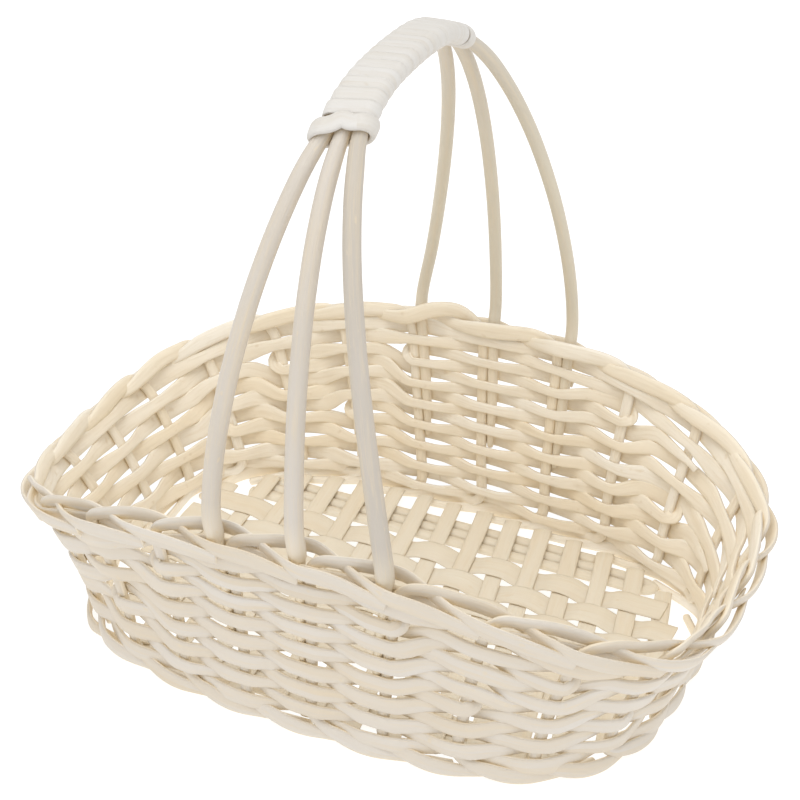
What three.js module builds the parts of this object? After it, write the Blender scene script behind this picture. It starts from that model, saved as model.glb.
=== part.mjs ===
// A white willow basket with a fixed hoop handle, in millimetres, +Z up, standing on z = 0.
// X runs along the basket, -Y is the front. Twenty-five stakes carry randed rows of weaving, turn
// down into a border at the rim and into a second border at the foot, and hold three handle rods.
import * as THREE from 'three';

// Least gap between two pieces that touch
const CLEARANCE = 0.3;

// Outline of the rim, on the middle of the border, and of the foot
const RIM_LENGTH = 357;
const RIM_WIDTH = 228;
const RIM_SQUARENESS = 3.2;
const RIM_HEIGHT_SIDE = 111.5;
const RIM_HEIGHT_END = 71;
const RIM_SWEEP = 2.2;
const FOOT_LENGTH = 305;
const FOOT_WIDTH = 204;
const FOOT_SQUARENESS = 3;
// Turn of the foot against the rim, in degrees
const FOOT_TURN = -3;
// 1 for a straight wall, more for one that opens towards the rim
const WALL_FLARE = 1.6;

// Stakes, counted from the middle of the back, by the left end, to the front and round to the back
const STAKE_DIAMETER = 4.7;
const STAKE_GAPS_LEFT = 13;
const STAKE_GAPS_RIGHT = 12;
// Part by which stakes stand closer at the ends of the basket and wider beside the handle
const STAKE_CROWDING = 0.05;

// Weaving: full rounds, and packing strands that turn back to raise the long sides
const WEAVER_HEIGHT = 5.6;
const WEAVER_THICKNESS = 3.6;
const WEAVER_TAIL = 9;
// How far past a stake a weaver lies flat
const WEAVER_LEVEL = 1.2;
const WEAVING_ROUNDS = 8;
const ROW_GAP = 0.2;
// Gaps past the end of a packing row between which the rows round it close up
const PACKING_FADE = [0.2, 0.9];

// Handle: three rods, gathered and wound at the top
const HANDLE_OFFSET = 5;
const HANDLE_TOP = 308;
const HANDLE_SPRING = 11;
const HANDLE_FLATNESS = 3;
const HANDLE_LEAN = 1.8;
const HANDLE_DRIFT = -2;
const ROD_BUTT_DIAMETER = 8.8;
const ROD_END_DIAMETER = 6.3;
// Part of the wall's height that a rod's root reaches down
const ROD_ROOT_SHARE = 0.6;
const ROD_GATHER = 0.93;
// Part of a rod's thickness pared away under the winding
const ROD_PARING = 0.2;
const WRAP_TURNS = 14;
const WRAP_LENGTH = 100;
const WRAP_SHIFT = -3;
const WRAP_THICKNESS = 1.5;
const WRAP_TURN_GAP = 1.3;
const COLLAR_HEIGHT = 8;
const COLLAR_THICKNESS = 2.6;
const COLLAR_SLACK = 1.5;

// Floor: slats across, strips and edge rods along
const SLAT_COUNT = 15;
const SLAT_MARGIN = 19.5;
const SLAT_SHIFT = 6;
// Lean of the first and last slat, in degrees
const SLAT_LEAN = [2, 14];
const SLAT_WIDTH = 9.5;
const SLAT_THICKNESS = 2.2;
// Part of a slat's thickness at its edges
const SLAT_EDGE = 0.55;
const STRIP_COUNT = 6;
const STRIP_MARGIN = 48;
const STRIP_SHIFT = 5;
const STRIP_WIDTH = 14;
const STRIP_THICKNESS = 1.5;
const EDGE_ROD_DIAMETER = 4.4;
const EDGE_ROD_PITCH = 5.4;
const EDGE_ROD_INSET = 24;
const EDGE_ROD_PASSES = 3;

// Sizes that follow from those
const stakeRadius = STAKE_DIAMETER / 2;
const stakeStep = STAKE_DIAMETER + CLEARANCE;
const weaverOut = stakeRadius + WEAVER_THICKNESS / 2 + CLEARANCE;
const stakeCount = STAKE_GAPS_LEFT + STAKE_GAPS_RIGHT;
const slatPitch = (FOOT_LENGTH - 2 * SLAT_MARGIN) / (SLAT_COUNT - 1);
const stripPitch = (FOOT_WIDTH - 2 * STRIP_MARGIN) / STRIP_COUNT;
const slatBottom = EDGE_ROD_DIAMETER + CLEARANCE;
const footHeight = stakeRadius * Math.cos(Math.PI / 6);
const firstRow = 2 * STAKE_DIAMETER + CLEARANCE + WEAVER_HEIGHT / 2;

// A superellipse, walked by the fraction of its length from +X, counter-clockwise from above
class Outline {
  constructor(length, width, squareness, turn = 0, samples = 1440) {
    this.points = [];
    this.run = [0];
    for (let i = 0; i <= samples; i++) {
      const angle = (2 * Math.PI * i) / samples;
      const power = (v) => Math.sign(v) * Math.abs(v) ** (2 / squareness);
      const x = (length / 2) * power(Math.cos(angle));
      const y = (width / 2) * power(Math.sin(angle));
      const middle = new THREE.Vector2();
      this.points.push(new THREE.Vector2(x, y).rotateAround(middle, turn));
      if (i > 0) this.run.push(this.run[i - 1] + this.points[i].distanceTo(this.points[i - 1]));
    }
    this.length = this.run[samples];
  }

  at(fraction) {
    const goal = (fraction - Math.floor(fraction)) * this.length;
    let low = 0;
    let high = this.run.length - 1;
    while (high - low > 1) {
      const middle = (low + high) >> 1;
      if (this.run[middle] <= goal) low = middle;
      else high = middle;
    }
    const part = (goal - this.run[low]) / (this.run[high] - this.run[low]);
    return this.points[low].clone().lerp(this.points[high], part);
  }
}

const rim = new Outline(RIM_LENGTH, RIM_WIDTH, RIM_SQUARENESS);
const footTurn = THREE.MathUtils.degToRad(FOOT_TURN);
const foot = new Outline(FOOT_LENGTH, FOOT_WIDTH, FOOT_SQUARENESS, footTurn);

function rimHeight(fraction) {
  const x = Math.abs(rim.at(fraction).x) / (RIM_LENGTH / 2);
  return RIM_HEIGHT_SIDE + (RIM_HEIGHT_END - RIM_HEIGHT_SIDE) * x ** RIM_SWEEP;
}

// Each handle rod stands beside a stake, before it on the way round
const rodAside = stakeStep;
const backStart = 0.25 - (HANDLE_OFFSET - rodAside) / rim.length;
const leftSpan = 0.5 + (2 * HANDLE_OFFSET) / rim.length;

// Fraction of the way round for a place counted in stakes; whole numbers are stakes
function turnFraction(place) {
  const lap = Math.floor(place / stakeCount);
  const rest = place - lap * stakeCount;
  const crowded = (part) => part + (STAKE_CROWDING / (2 * Math.PI)) * Math.sin(2 * Math.PI * part);
  if (rest <= STAKE_GAPS_LEFT) return backStart + crowded(rest / STAKE_GAPS_LEFT) * leftSpan;
  const right = crowded((rest - STAKE_GAPS_LEFT) / STAKE_GAPS_RIGHT);
  return backStart + leftSpan + right * (1 - leftSpan);
}

function wallPoint(fraction, z) {
  const up = Math.max((z - footHeight) / (rimHeight(fraction) - footHeight), 0);
  const plan = foot.at(fraction).lerp(rim.at(fraction), up ** WALL_FLARE);
  return new THREE.Vector3(plan.x, plan.y, z);
}

// Position on the middle of the wall, with the directions along it, up it and out of it
function wallFrame(place, z) {
  const fraction = turnFraction(place);
  const nudge = 0.004;
  const origin = wallPoint(fraction, z);
  const along = wallPoint(fraction + nudge, z).sub(wallPoint(fraction - nudge, z)).normalize();
  const rise = wallPoint(fraction, z + 1).sub(wallPoint(fraction, z - 1));
  const out = along.clone().cross(rise).normalize();
  const up = out.clone().cross(along);
  const flatOut = new THREE.Vector3(along.y, -along.x, 0).normalize();
  return { origin, along, up, out, flatOut };
}

function rimFrame(place) {
  return wallFrame(place, rimHeight(turnFraction(place)));
}

// Millimetres along the wall as a part of the gap between two stakes
function stakeShare(place, z, distance) {
  const here = wallFrame(place, z).origin;
  return distance / here.distanceTo(wallFrame(place + 0.5, z).origin) / 2;
}

// Corners of a strand's section: a rectangle, or a regular figure with a corner outwards
const flatSection = [[1, 1], [-1, 1], [-1, -1], [1, -1]];
function roundSection(sides) {
  const angles = Array.from({ length: sides }, (_, j) => (2 * Math.PI * j) / sides);
  return angles.map((angle) => [Math.cos(angle), Math.sin(angle)]);
}

// A closed strand through stations { point, out, halfOut, halfSide }
function strand(stations, section, closed = false) {
  const count = stations.length;
  const sides = section.length;
  const positions = [];
  const index = [];
  stations.forEach((station, i) => {
    const before = stations[closed ? (i + count - 1) % count : Math.max(i - 1, 0)].point;
    const after = stations[closed ? (i + 1) % count : Math.min(i + 1, count - 1)].point;
    const tangent = after.clone().sub(before).normalize();
    const side = tangent.clone().cross(station.out).normalize();
    const out = side.clone().cross(tangent);
    for (const [outPart, sidePart] of section) {
      const corner = station.point.clone();
      corner.addScaledVector(out, station.halfOut * outPart);
      corner.addScaledVector(side, station.halfSide * sidePart);
      positions.push(corner.x, corner.y, corner.z);
    }
  });
  const rings = closed ? count : count - 1;
  for (let i = 0; i < rings; i++) {
    const near = i * sides;
    const far = ((i + 1) % count) * sides;
    for (let j = 0; j < sides; j++) {
      const k = (j + 1) % sides;
      index.push(near + j, near + k, far + j, near + k, far + k, far + j);
    }
  }
  if (!closed) {
    const last = (count - 1) * sides;
    for (let j = 1; j < sides - 1; j++) {
      index.push(0, j + 1, j, last, last + j, last + j + 1);
    }
  }
  const geometry = new THREE.BufferGeometry();
  geometry.setAttribute('position', new THREE.Float32BufferAttribute(positions, 3));
  geometry.setIndex(index);
  geometry.computeVertexNormals();
  return geometry;
}

const willow = (color) => new THREE.MeshStandardMaterial({ color, roughness: 0.62, metalness: 0 });
const materials = {
  stake: willow(0xe6dccb),
  weaver: willow(0xe8dec9),
  rod: willow(0xded5c6),
  wrap: willow(0xeeeae2),
  floor: willow(0xeee2c6),
};

const basket = new THREE.Group();
const groups = {};
for (const name of ['stakes', 'weaving', 'handle', 'floor']) {
  groups[name] = new THREE.Group();
  basket.add(groups[name]);
}

function addPiece(group, name, geometry, material) {
  const mesh = new THREE.Mesh(geometry, material);
  mesh.name = name;
  groups[group].add(mesh);
  return mesh;
}

// Places of the handle rods: back and front stake of the left, middle and right rod
// with how late each bends in to the others, at the front and at the back
const rodStakes = [
  { name: 'left', back: 1, front: STAKE_GAPS_LEFT - 1, bend: [1.5, 0.95] },
  { name: 'middle', back: 0, front: STAKE_GAPS_LEFT, bend: [1.5, 1.5] },
  { name: 'right', back: -1, front: STAKE_GAPS_LEFT + 1, bend: [1.15, 1.6] },
];
const sameStake = (a, b) => (a - b) % stakeCount === 0;
const rodPlaces = rodStakes.flatMap((rod) => [rod.back, rod.front]);
const holdsRod = (stake) => rodPlaces.some((place) => sameStake(stake, place));

// Border strands part round a handle rod: 1 beside the rod, 0 half a gap away
const rodClear = (ROD_BUTT_DIAMETER + STAKE_DIAMETER) / 2 + CLEARANCE;
function parting(place) {
  const before = stakeShare(Math.round(place), RIM_HEIGHT_SIDE, rodAside);
  const nearest = Math.round(place + before);
  if (!holdsRod(nearest)) return 0;
  const away = Math.min(Math.abs(place - (nearest - before)) / 0.6, 1);
  return Math.cos((away * Math.PI) / 2) ** 2;
}

// The way of a stake's top: [gaps from the stake, steps out, steps up, width in diameters], behind one
// and before two. It lies flat where it is wider than its diameter.
const borderRoute = [
  [0.06, 0.05, -0.4, 1],
  [0.16, -0.02, 0.4, 1],
  [0.35, -0.4, 0.62, 1.1],
  [0.65, -0.82, 0.5, 1.2],
  [1.0, -1.1, 0.12, 1.2],
  [1.3, -0.62, -0.5, 0.95],
  [1.58, 0.42, -0.5, 0.95],
  [1.9, 1.45, -0.45, 1.1],
  [2.3, 1.75, -0.8, 1.45],
  [2.9, 1.72, -1.55, 0.95],
];
// The last row of weaving lies under the place where a border strand crosses the wall
const crossingDepth = 0.5;
const borderDepth = crossingDepth * stakeStep + stakeRadius + CLEARANCE + WEAVER_HEIGHT / 2;

// The way of a stake's foot: [gaps from the stake, steps out, diameters up], before one and behind one
const footRoute = [
  [1.9, -0.92, 0],
  [1.5, -0.5, 0],
  [1.2, 0.05, 0.03],
  [0.95, 0.75, 0.22],
  [0.68, 0.92, 0.5],
  [0.42, 0.7, 0.8],
  [0.2, 0.28, 1.05],
  [0.08, 0.03, 1.5],
];
const footTop = 2.7 * STAKE_DIAMETER;

function stakeStations(stake) {
  const stations = [];
  for (const [gap, out, up] of footRoute) {
    const frame = wallFrame(stake + gap, footHeight + up * STAKE_DIAMETER);
    const point = frame.origin.clone().addScaledVector(frame.flatOut, out * stakeStep);
    stations.push({ point, out: frame.flatOut, halfOut: stakeRadius, halfSide: stakeRadius });
  }
  const top = rimHeight(turnFraction(stake)) - 1.7 * stakeStep;
  for (const part of [0, 1 / 3, 2 / 3, 1]) {
    const frame = wallFrame(stake, THREE.MathUtils.lerp(footTop, top, part));
    stations.push({ point: frame.origin, out: frame.out, halfOut: stakeRadius, halfSide: stakeRadius });
  }
  for (const [gap, out, up, width] of borderRoute) {
    const frame = rimFrame(stake + gap);
    const short = Math.max(rodClear / stakeStep - Math.abs(out), 0);
    const push = short * THREE.MathUtils.smoothstep(Math.abs(out), 0.3, 0.8);
    const spread = out + Math.sign(out) * push * parting(stake + gap);
    const point = frame.origin.clone().addScaledVector(frame.out, spread * stakeStep);
    point.addScaledVector(frame.up, up * stakeStep);
    const halfOut = stakeRadius * Math.min(width, 1 / width);
    stations.push({ point, out: frame.out, halfOut, halfSide: stakeRadius * width });
  }
  return stations;
}

for (let stake = 0; stake < stakeCount; stake++) {
  const name = `stake_${String(stake + 1).padStart(2, '0')}`;
  addPiece('stakes', name, strand(stakeStations(stake), roundSection(6)), materials.stake);
}

// Packing rows: how far each runs to the left and right of the middle stake, in stakes
const packings = [
  { above: 2, rows: [[4, 4], [3, 4], [3, 2], [2, 2]] },
  { above: 5, rows: [[3, 3], [2, 3], [2, 1], [1, 1]] },
];
const sides = [
  { name: 'back', middle: 0 },
  { name: 'front', middle: STAKE_GAPS_LEFT },
];
const spiralStart = -Math.round(STAKE_GAPS_RIGHT / 2);

// Share of a full row that a packing row takes up at a place: 1 along it, fading past its ends
function packed(row, place) {
  let share = 0;
  for (const side of sides) {
    const lap = Math.round((place - side.middle) / stakeCount) * stakeCount;
    const from = place - lap - side.middle;
    const past = Math.max(-row[0] - from, from - row[1], 0);
    share = Math.max(share, 1 - THREE.MathUtils.smoothstep(past, ...PACKING_FADE));
  }
  return share;
}

const allRows = packings.flatMap((packing) => packing.rows);

// Height of a row: its count in full rows plus the packing rows that lie below it
function rowHeight(place, fullRows, packingRows) {
  const low = [...packingRows].reduce((sum, row) => sum + packed(row, place), 0);
  const total = WEAVING_ROUNDS + allRows.reduce((sum, row) => sum + packed(row, place), 0);
  const lastRow = rimHeight(turnFraction(place)) - borderDepth;
  return firstRow + ((fullRows + low) / total) * (lastRow - firstRow);
}

function fullRowHeight(place) {
  const fullRows = (place - spiralStart) / stakeCount;
  const lap = Math.floor(fullRows);
  const below = packings.filter((packing) => packing.above < lap).flatMap((packing) => packing.rows);
  return rowHeight(place, fullRows, below);
}

function packingRowHeight(packing, row, place) {
  const lapped = place - spiralStart;
  const fullRows = packing.above + (lapped / stakeCount - Math.floor(lapped / stakeCount));
  const below = packings.filter((other) => other.above < packing.above).flatMap((other) => other.rows);
  return rowHeight(place, fullRows, [...below, ...packing.rows.slice(0, row + 1)]);
}

// A weaver fills its row, pressed flatter where rows lie close
function weaverStation(place, z, out) {
  const frame = wallFrame(place, z);
  const point = frame.origin.clone().addScaledVector(frame.out, out);
  const room = rowHeight(place, 1, []) - rowHeight(place, 0, []) - ROW_GAP;
  const halfSide = Math.min(WEAVER_HEIGHT, room) / 2;
  return { point, out: frame.out, halfOut: WEAVER_THICKNESS / 2, halfSide };
}

// Where a weaver lies flat past a stake, and past the handle rod beside it
const pastStake = stakeRadius + WEAVER_LEVEL;
function passing(stake, z) {
  const before = holdsRod(stake) ? pastStake + rodAside : pastStake;
  return [stake - stakeShare(stake, z, before), stake + stakeShare(stake, z, pastStake)];
}

// One strand from stake to stake, on alternate sides of them
function weave(from, to, heightAt, outsideAt) {
  const step = Math.sign(to - from);
  const stations = [];
  for (let stake = from; step * stake <= step * to; stake += step) {
    const out = outsideAt(stake) ? weaverOut : -weaverOut;
    const ends = passing(stake, heightAt(stake));
    if (step < 0) ends.reverse();
    for (const place of ends) stations.push(weaverStation(place, heightAt(place), out));
  }
  return stations;
}

const isEven = (n) => Math.abs(n) % 2 === 0;

// A strand's loose end lies flat past its last stake
function tail(stake, step, heightAt, outside) {
  const place = stake + step * stakeShare(stake, heightAt(stake), WEAVER_TAIL);
  return weaverStation(place, heightAt(place), outside ? weaverOut : -weaverOut);
}

const spiralMiddle = spiralStart + Math.floor(WEAVING_ROUNDS / 2) * stakeCount;
const spiralEnd = spiralStart + WEAVING_ROUNDS * stakeCount;
const roundStrands = [
  { name: 'weaver_lower', from: spiralStart, to: spiralMiddle },
  { name: 'weaver_upper', from: spiralMiddle + 1, to: spiralEnd },
];
for (const { name, from, to } of roundStrands) {
  const stations = weave(from, to, fullRowHeight, isEven);
  addPiece('weaving', name, strand(stations, roundSection(5)), materials.weaver);
}

// A packing strand turns back round the last stake of each row
function turnBack(stake, step, low, high, outside) {
  const stations = [];
  const reach = stakeRadius + WEAVER_THICKNESS / 2 + 4.5 * CLEARANCE;
  for (const part of [0.25, 0.5, 0.75]) {
    const angle = part * Math.PI;
    const across = step * stakeShare(stake, low(stake), reach * Math.sin(angle));
    const place = stake + across;
    const z = THREE.MathUtils.lerp(low(place), high(place), part);
    const out = Math.cos(angle) * (outside ? weaverOut : -weaverOut);
    stations.push(weaverStation(place, z, out));
  }
  return stations;
}

for (const side of sides) {
  packings.forEach((packing, level) => {
    const stations = [];
    packing.rows.forEach((reach, row) => {
      const step = isEven(row) ? 1 : -1;
      const ends = [side.middle - reach[0], side.middle + reach[1]];
      if (step < 0) ends.reverse();
      const [from, to] = ends;
      const heightAt = (place) => packingRowHeight(packing, row, place);
      const outsideAt = (stake) => isEven(stake + packing.above + 1 + row);
      if (row === 0) stations.push(tail(from, -step, heightAt, outsideAt(from)));
      stations.push(...weave(from, to, heightAt, outsideAt));
      if (row + 1 < packing.rows.length) {
        const nextAt = (place) => packingRowHeight(packing, row + 1, place);
        stations.push(...turnBack(to, step, heightAt, nextAt, outsideAt(to)));
      } else {
        stations.push(tail(to, step, heightAt, outsideAt(to)));
      }
    });
    const name = `packing_${side.name}_${level === 0 ? 'lower' : 'upper'}`;
    addPiece('weaving', name, strand(stations, roundSection(5)), materials.weaver);
  });
}

// The arch over the basket from a rod's foot, at a share of the way from front to back: its point,
// and its rise from 0 to 1. It springs a little above the foot, which follows the wall's slope.
function archPoint(share, foot) {
  const slope = (WALL_FLARE * (RIM_WIDTH - FOOT_WIDTH)) / 2 / (RIM_HEIGHT_SIDE - footHeight);
  const springY = Math.abs(foot.y) + slope * HANDLE_SPRING;
  const springZ = foot.z + HANDLE_SPRING;
  const angle = share * Math.PI;
  const across = Math.cos(angle);
  const y = -springY * Math.sign(across) * Math.abs(across) ** (2 / HANDLE_FLATNESS);
  const rise = Math.sin(angle) ** (2 / HANDLE_LEAN);
  return { point: new THREE.Vector3(foot.x, y, springZ + (HANDLE_TOP - springZ) * rise), rise };
}

// Radius of a rod at a share of the arch: tapered from butt to end, and pared near the top
function rodRadiusAt(share) {
  const whole = THREE.MathUtils.lerp(ROD_BUTT_DIAMETER, ROD_END_DIAMETER, share) / 2;
  return whole * (1 - ROD_PARING * THREE.MathUtils.smoothstep(Math.sin(share * Math.PI), 0.85, 1));
}
const bundlePitchAt = (share) => 2 * rodRadiusAt(share) + CLEARANCE;
const archShares = [0, 0.06, 0.13, 0.2, 0.26, 0.31, 0.34, 0.37, 0.4, 0.43, 0.46];
const archSteps = [...archShares, 0.49, 0.51, ...archShares.map((share) => 1 - share).reverse()];

// A rod's root: pared down, beside its stake, between the two sides of the weaving
function rootStations(stake, share) {
  const top = rimHeight(turnFraction(stake));
  const full = rodRadiusAt(share);
  const roots = [
    [-ROD_ROOT_SHARE * RIM_HEIGHT_SIDE, rodAside, 0.7 * stakeRadius],
    [-0.36 * RIM_HEIGHT_SIDE, rodAside, stakeRadius],
    [-borderDepth + WEAVER_HEIGHT / 2, rodAside, stakeRadius],
    [-0.4 * stakeStep, stakeRadius + full + CLEARANCE - 0.4, full - 0.4],
    [0.4 * stakeStep, stakeRadius + full + CLEARANCE, full],
  ];
  return roots.map(([down, aside, half]) => {
    const z = top + down;
    const frame = wallFrame(stake - stakeShare(stake, z, aside), z);
    return { point: frame.origin, out: new THREE.Vector3(1, 0, 0), halfOut: half, halfSide: half };
  });
}

// The arch of the middle rod, which the other two join where they are gathered
const bundleX = HANDLE_OFFSET + HANDLE_DRIFT;
const middleFoot = rootStations(STAKE_GAPS_LEFT, 0).at(-1).point;
const middleArch = archSteps.map((share) => archPoint(share, middleFoot).point.setX(bundleX));

function rodStations(rod, order) {
  const front = rootStations(rod.front, 0);
  const back = rootStations(rod.back, 1);
  const feet = [front.at(-1).point, back.at(-1).point];
  const arch = archSteps.map((share, i) => {
    const foot = feet[share < 0.5 ? 0 : 1];
    const own = archPoint(share, foot);
    const bundled = middleArch[i].clone().setX(bundleX + order * bundlePitchAt(share));
    const gather = Math.min(own.rise / ROD_GATHER, 1) ** rod.bend[share < 0.5 ? 0 : 1];
    const point = own.point.lerp(bundled, gather);
    const half = rodRadiusAt(share);
    return { point, out: new THREE.Vector3(1, 0, 0), halfOut: half, halfSide: half };
  });
  return [...front, ...arch, ...back.reverse()];
}

rodStakes.forEach((rod, i) => {
  const geometry = strand(rodStations(rod, i - 1), roundSection(8));
  addPiece('handle', `handle_rod_${rod.name}`, geometry, materials.rod);
});

// The same arch walked by its length from the top, towards the back where positive
const archRun = [0];
middleArch.slice(1).forEach((point, i) => archRun.push(archRun[i] + point.distanceTo(middleArch[i])));

function archFrame(distance) {
  const goal = distance + archRun.at(-1) / 2;
  const next = archRun.findIndex((run) => run > goal);
  const part = (goal - archRun[next - 1]) / (archRun[next] - archRun[next - 1]);
  const origin = middleArch[next - 1].clone().lerp(middleArch[next], part);
  const along = middleArch[next].clone().sub(middleArch[next - 1]).normalize();
  const across = new THREE.Vector3(1, 0, 0);
  const share = THREE.MathUtils.lerp(archSteps[next - 1], archSteps[next], part);
  return { origin, along, across, up: across.clone().cross(along), share };
}

// A point on a flat oval round the three rods; spread is its distance off the rods
function ovalPoint(frame, turn, spread) {
  const end = rodRadiusAt(frame.share) + spread;
  const bundlePitch = bundlePitchAt(frame.share);
  const arc = Math.PI * end;
  const flat = 2 * bundlePitch;
  let way = (turn - Math.floor(turn)) * 2 * (arc + flat);
  const half = way >= arc + flat ? -1 : 1;
  if (half < 0) way -= arc + flat;
  let x = bundlePitch - way;
  let z = end;
  let out = new THREE.Vector2(0, 1);
  if (way > flat) {
    const angle = (way - flat) / end;
    out = new THREE.Vector2(-Math.sin(angle), Math.cos(angle));
    x = -bundlePitch + end * out.x;
    z = end * out.y;
  }
  const point = frame.origin.clone().addScaledVector(frame.across, half * x);
  point.addScaledVector(frame.up, half * z);
  const normal = frame.across.clone().multiplyScalar(half * out.x);
  normal.addScaledVector(frame.up, half * out.y);
  return { point, normal };
}

const wrapPitch = WRAP_LENGTH / WRAP_TURNS;
const wrapStations = [];
const wrapSteps = 24;
for (let i = 0; i <= WRAP_TURNS * wrapSteps; i++) {
  const turn = i / wrapSteps;
  const distance = WRAP_SHIFT + wrapPitch * turn - WRAP_LENGTH / 2;
  const { point, normal } = ovalPoint(archFrame(distance), turn, 2 * CLEARANCE + WRAP_THICKNESS / 2);
  const halfSide = (wrapPitch - WRAP_TURN_GAP) / 2;
  wrapStations.push({ point, out: normal, halfOut: WRAP_THICKNESS / 2, halfSide });
}
const wrapGeometry = strand(wrapStations, flatSection);
addPiece('handle', 'handle_wrap', wrapGeometry, materials.wrap);

// Least gap between one turn of the winding and the next, measured on the points of the rings
function leastTurnGap(geometry, ringSides) {
  const places = geometry.getAttribute('position');
  const points = [];
  for (let i = 0; i < places.count; i++) {
    points.push(new THREE.Vector3().fromBufferAttribute(places, i));
  }
  let least = Infinity;
  points.forEach((point, i) => {
    const first = i + (wrapSteps - 2) * ringSides;
    const last = Math.min(i + (wrapSteps + 2) * ringSides, points.length - 1);
    for (let j = first; j <= last; j++) least = Math.min(least, point.distanceTo(points[j]));
  });
  return least;
}
console.log(`least gap between turns of the winding: ${leastTurnGap(wrapGeometry, 4).toFixed(2)} mm`);

// A collar holds the rods together at each end of the winding
for (const [name, end] of [['front', -1], ['back', 1]]) {
  const beyond = (WRAP_LENGTH + wrapPitch + COLLAR_HEIGHT) / 2 + 2 * CLEARANCE;
  const distance = WRAP_SHIFT + end * beyond;
  const frame = archFrame(distance);
  const stations = [];
  for (let i = 0; i < wrapSteps; i++) {
    const { point, normal } = ovalPoint(frame, i / wrapSteps, COLLAR_SLACK + COLLAR_THICKNESS / 2);
    stations.push({ point, out: normal, halfOut: COLLAR_THICKNESS / 2, halfSide: COLLAR_HEIGHT / 2 });
  }
  addPiece('handle', `handle_collar_${name}`, strand(stations, flatSection, true), materials.wrap);
}

// How far a line on the floor runs before it meets the foot of the wall, less an inset
const floorInset = 0.75 * stakeStep;
function floorEdge(x, y, angle, inset = floorInset) {
  const inside = (way) => {
    const point = new THREE.Vector2(x + way * Math.cos(angle), y + way * Math.sin(angle));
    point.rotateAround(new THREE.Vector2(), -footTurn);
    const along = Math.abs(point.x) / (FOOT_LENGTH / 2 - inset);
    const across = Math.abs(point.y) / (FOOT_WIDTH / 2 - inset);
    return along ** FOOT_SQUARENESS + across ** FOOT_SQUARENESS < 1;
  };
  let near = 0;
  let far = FOOT_LENGTH;
  for (let i = 0; i < 24; i++) {
    const middle = (near + far) / 2;
    if (inside(middle)) near = middle;
    else far = middle;
  }
  return near;
}
// The same for a band of some width
function bandEdge(x, y, angle, half, inset) {
  const sides = [-half, half].map((off) => [x - off * Math.sin(angle), y + off * Math.cos(angle)]);
  return Math.min(...sides.map(([sideX, sideY]) => floorEdge(sideX, sideY, angle, inset)));
}

// A slat is a split rod: flat below, crowned above; the slats lean like a fan
const slatX = (i) => SLAT_SHIFT + (i - (SLAT_COUNT - 1) / 2) * slatPitch;
function slatLean(i) {
  return THREE.MathUtils.degToRad(THREE.MathUtils.lerp(...SLAT_LEAN, i / (SLAT_COUNT - 1)));
}
const slatReach = (i, end) => bandEdge(slatX(i), 0, slatLean(i) + (end * Math.PI) / 2, SLAT_WIDTH / 2);
for (let i = 0; i < SLAT_COUNT; i++) {
  const section = new THREE.Shape();
  section.moveTo(-SLAT_WIDTH / 2, 0);
  section.lineTo(SLAT_WIDTH / 2, 0);
  section.lineTo(SLAT_WIDTH / 2, SLAT_EDGE * SLAT_THICKNESS);
  section.lineTo(SLAT_WIDTH / 4, SLAT_THICKNESS);
  section.lineTo(-SLAT_WIDTH / 4, SLAT_THICKNESS);
  section.lineTo(-SLAT_WIDTH / 2, SLAT_EDGE * SLAT_THICKNESS);
  const [front, back] = [slatReach(i, -1), slatReach(i, 1)];
  const geometry = new THREE.ExtrudeGeometry(section, { depth: front + back, bevelEnabled: false });
  geometry.rotateX(Math.PI / 2);
  geometry.translate(0, back, 0);
  geometry.rotateZ(slatLean(i));
  const name = `floor_slat_${String(i + 1).padStart(2, '0')}`;
  const slat = addPiece('floor', name, geometry, materials.floor);
  slat.position.set(slatX(i), 0, slatBottom);
}

const floorUp = new THREE.Vector3(0, 0, 1);

// Stations of a strip along the floor at y, over and under the slats that reach that far
function floorRun(y, overFirst) {
  const middle = slatBottom + SLAT_THICKNESS / 2;
  const swing = (SLAT_THICKNESS + STRIP_THICKNESS) / 2 + CLEARANCE;
  const half = STRIP_WIDTH / 2;
  const stations = [];
  const addStation = (x, z) => {
    const point = new THREE.Vector3(x, y, z);
    stations.push({ point, out: floorUp, halfOut: STRIP_THICKNESS / 2, halfSide: half });
  };
  const start = -bandEdge(0, y, Math.PI, half, 2 * stakeStep);
  const end = bandEdge(0, y, 0, half, 2 * stakeStep);
  for (let i = 0; i < SLAT_COUNT; i++) {
    const slope = Math.tan(slatLean(i));
    const at = slatX(i) - y * slope;
    const reach = SLAT_WIDTH / 2 / Math.cos(slatLean(i)) + half * slope;
    if (at - reach < start || at + reach > end) continue;
    if (slatReach(i, Math.sign(y)) * Math.cos(slatLean(i)) < Math.abs(y) + half) continue;
    const z = middle + (isEven(i) === overFirst ? swing : -swing);
    if (stations.length === 0) addStation(start, z);
    addStation(at - reach, z);
    addStation(at + reach, z);
  }
  addStation(end, stations.at(-1).point.z);
  return stations;
}

for (let i = 0; i < STRIP_COUNT; i++) {
  const y = STRIP_SHIFT + (i - (STRIP_COUNT - 1) / 2) * stripPitch;
  const stations = floorRun(y, isEven(i));
  addPiece('floor', `floor_strip_${i + 1}`, strand(stations, flatSection), materials.floor);
}

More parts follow.
